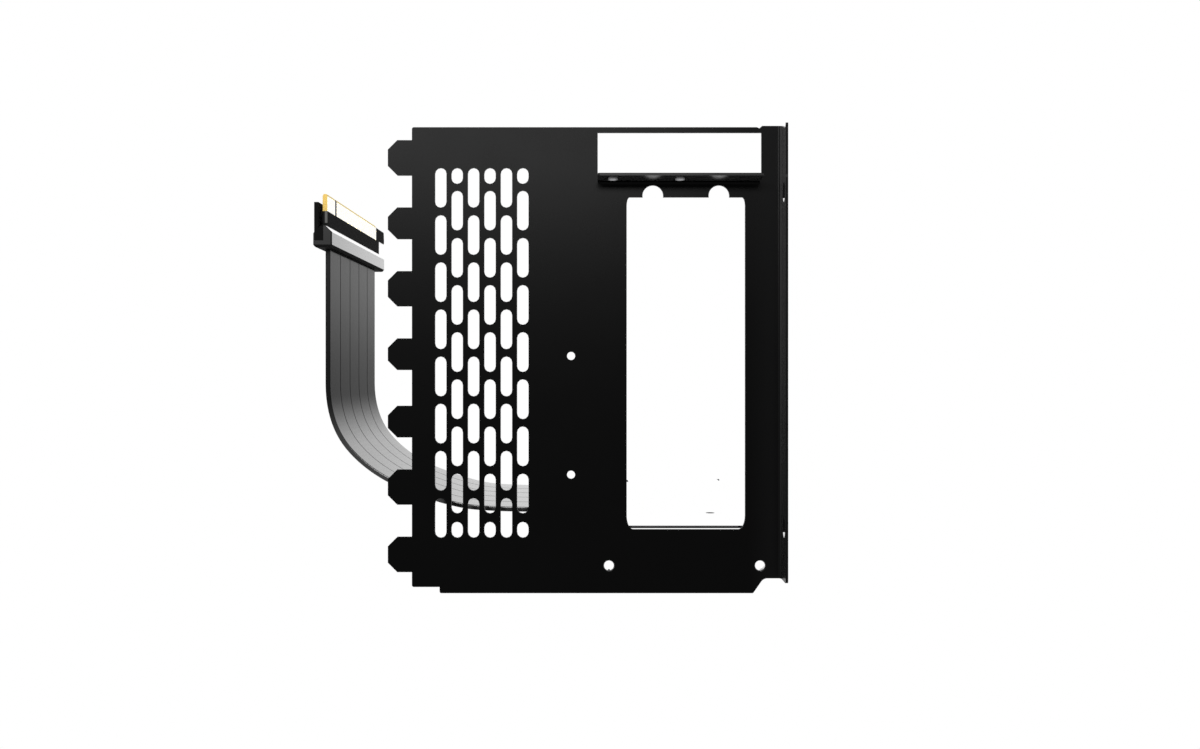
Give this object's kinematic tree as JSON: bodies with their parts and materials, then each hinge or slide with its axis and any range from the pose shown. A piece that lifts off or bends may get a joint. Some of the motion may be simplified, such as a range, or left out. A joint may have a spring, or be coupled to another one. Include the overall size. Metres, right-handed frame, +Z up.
{
  "type": "vertical graphics card mount",
  "caption": "Black folded-steel rear plate with vents, card window and shelf, a riser tray behind it, and a flat ribbon cable that ends in a gold-fingered edge plug.",
  "frame": {"origin": "midway between the two case slots, on the outer face of the side flange", "axes": "+X out of the side flange, +Y into the computer case, +Z up"},
  "size_m": [0.1521, 0.181, 0.1436],
  "materials": {
    "plate_paint": "satin black powder coat",
    "tray_paint": "glossy black powder coat",
    "insulating_film": "black polyester film",
    "circuit_board": "black solder mask on glass laminate",
    "slot_plastic": "moulded black nylon",
    "gold_plating": "gold plating over copper",
    "shield_steel": "polished stainless sheet",
    "clamp_plastic": "moulded dark grey plastic",
    "screw_steel": "nickel-plated steel",
    "ribbon_jacket": "dark grey cable jacket with a fine sheen"
  },
  "bodies": {
    "root": {"rear_plate": "plate_paint", "riser_tray": "tray_paint", "insulating_film": "insulating_film", "socket_board": "circuit_board", "board_screws": "screw_steel", "slot_housing": "slot_plastic", "slot_contacts_left": "gold_plating", "slot_contacts_right": "gold_plating", "slot_shield": "shield_steel", "socket_clamp_upper": "clamp_plastic", "socket_clamp_lower": "clamp_plastic", "socket_clamp_screws": "screw_steel", "plug_board": "circuit_board", "plug_contacts_left": "gold_plating", "plug_contacts_right": "gold_plating", "plug_clamp_left": "clamp_plastic", "plug_clamp_right": "clamp_plastic", "plug_clamp_screws": "screw_steel", "ribbon_strip_1": "ribbon_jacket", "ribbon_strip_2": "ribbon_jacket", "ribbon_strip_3": "ribbon_jacket", "ribbon_strip_4": "ribbon_jacket", "ribbon_strip_5": "ribbon_jacket"}
  },
  "joints": []
}
